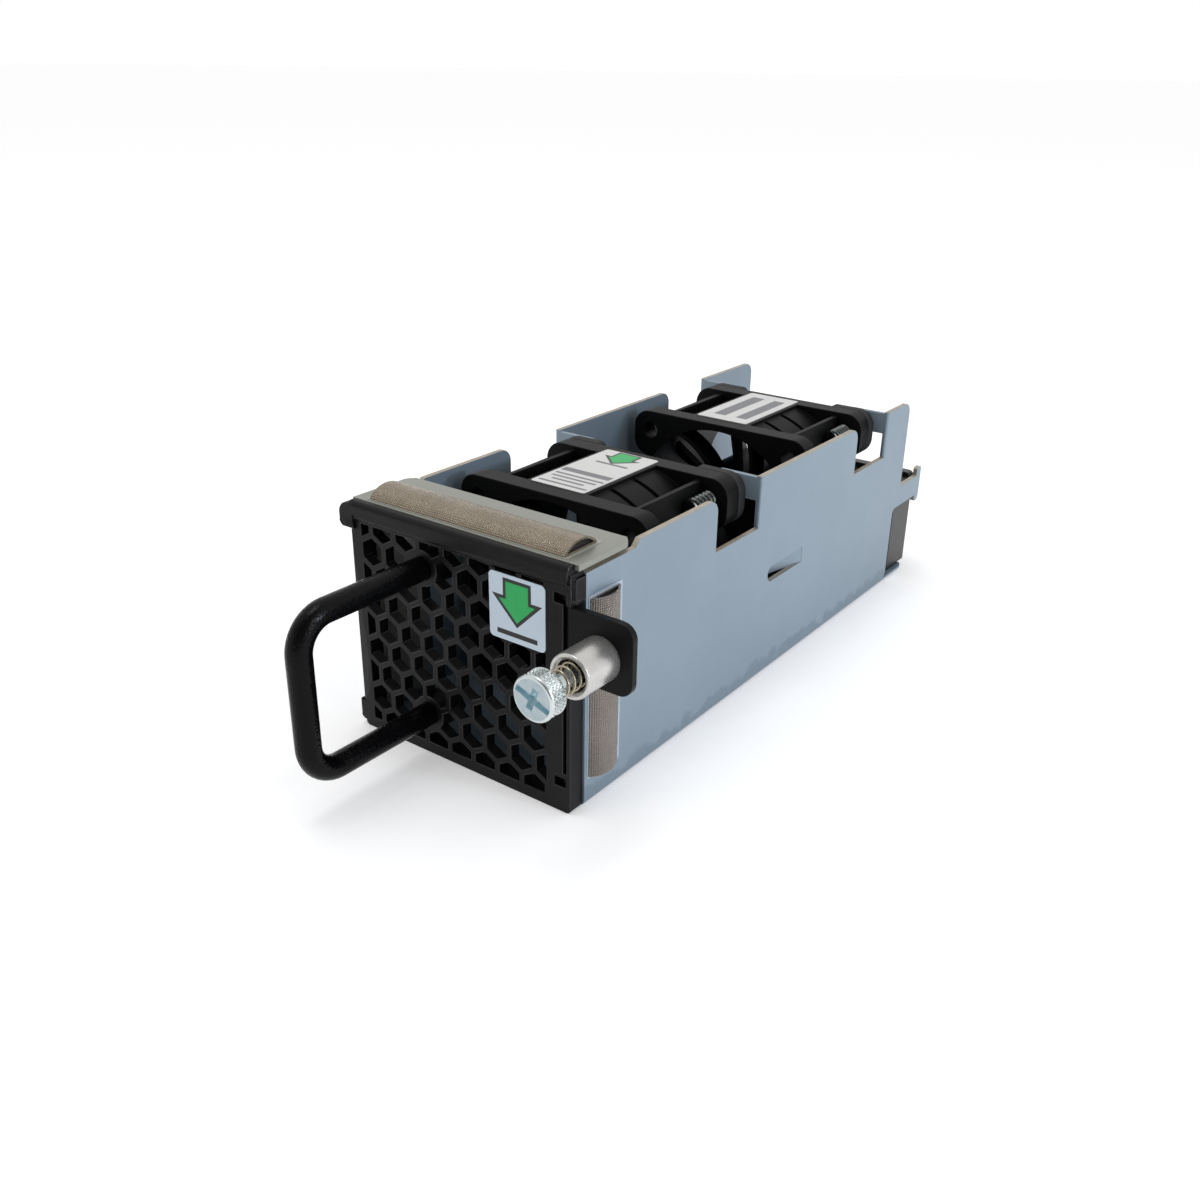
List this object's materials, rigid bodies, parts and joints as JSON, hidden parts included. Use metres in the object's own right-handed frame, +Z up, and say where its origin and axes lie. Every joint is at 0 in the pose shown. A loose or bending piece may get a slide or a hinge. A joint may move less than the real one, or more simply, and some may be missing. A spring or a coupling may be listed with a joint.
{
  "type": "switch fan tray",
  "caption": "Slide-in fan tray: axial fans in line in a folded steel channel behind a honeycomb bezel with pull handle, captive screw, seals and rear connector.",
  "frame": {"origin": "on the underside of the tray's floor, mid-width, half way along the floor's length from the bezel's front face", "axes": "+X to the right seen from the front, +Y from the bezel to the rear connector, +Z up"},
  "size_m": [0.058, 0.1601, 0.0436],
  "materials": {
    "zinc_plated_steel": "zinc-plated sheet steel, satin",
    "frame_steel": "plated sheet steel, satin",
    "black_moulding": "black moulded plastic with fine texture",
    "fan_moulding": "black glass-filled plastic",
    "black_coating": "black powder coat, fine texture",
    "turned_aluminium": "turned aluminium, bright",
    "zinc_plated_screw": "bright zinc plate",
    "spring_steel": "bright spring wire",
    "conductive_fabric": "metallised woven fabric over foam",
    "damper_rubber": "soft black rubber",
    "label_stock": "white label film with a plain arrow",
    "motor_steel": "ground steel",
    "ferrite": "bonded ferrite",
    "copper_wire": "enamelled copper wire",
    "board_laminate": "glass-epoxy laminate",
    "contact_plating": "gold-plated copper alloy"
  },
  "bodies": {
    "tray_assembly": {"tray": "zinc_plated_steel", "front_frame": "frame_steel", "bezel": "black_moulding", "handle": "black_coating", "handle_nuts": "zinc_plated_screw", "ear_bracket": "black_coating", "captive_barrel": "turned_aluminium", "captive_spring": "spring_steel", "top_gasket": "conductive_fabric", "side_gasket": "conductive_fabric", "front_label": "label_stock", "rear_connector_housing": "black_moulding", "rear_connector_contacts": "contact_plating", "rear_connector_screws": "zinc_plated_screw", "fan_1_housing": "fan_moulding", "fan_1_bearings": "motor_steel", "fan_1_stator_core": "motor_steel", "fan_1_coils": "copper_wire", "fan_1_circuit_board": "board_laminate", "fan_1_label": "label_stock", "fan_1_dampers": "damper_rubber", "fan_1_screws": "zinc_plated_screw", "fan_2_housing": "fan_moulding", "fan_2_bearings": "motor_steel", "fan_2_stator_core": "motor_steel", "fan_2_coils": "copper_wire", "fan_2_circuit_board": "board_laminate", "fan_2_label": "label_stock", "fan_2_dampers": "damper_rubber", "fan_2_screws": "zinc_plated_screw"},
    "fan_1_rotor": {"fan_1_impeller": "fan_moulding", "fan_1_shaft": "motor_steel", "fan_1_rotor_yoke": "motor_steel", "fan_1_magnet": "ferrite", "fan_1_shaft_clip": "motor_steel"},
    "fan_2_rotor": {"fan_2_impeller": "fan_moulding", "fan_2_shaft": "motor_steel", "fan_2_rotor_yoke": "motor_steel", "fan_2_magnet": "ferrite", "fan_2_shaft_clip": "motor_steel"},
    "captive_carriage": {"captive_washer": "zinc_plated_screw"},
    "thumb_screw": {"captive_screw": "zinc_plated_screw"}
  },
  "joints": [
    {"name": "fan_1_spin", "type": "hinge", "parent": "tray_assembly", "child": "fan_1_rotor", "pos_m": [0, -0.0262, 0.021], "axis": [0, 1, 0], "continuous": true},
    {"name": "fan_2_spin", "type": "hinge", "parent": "tray_assembly", "child": "fan_2_rotor", "pos_m": [0, 0.027, 0.021], "axis": [0, 1, 0], "continuous": true},
    {"name": "captive_slide", "type": "slide", "parent": "tray_assembly", "child": "captive_carriage", "axis": [0, 1, 0], "range_m": [0, 0.0038], "stiffness_N_per_m": 250, "springref_m": -0.003, "deforming": ["captive_spring"]},
    {"name": "captive_turn", "type": "hinge", "parent": "captive_carriage", "child": "thumb_screw", "pos_m": [0.0278, -0.0715, 0.0289], "axis": [0, 1, 0], "continuous": true}
  ]
}
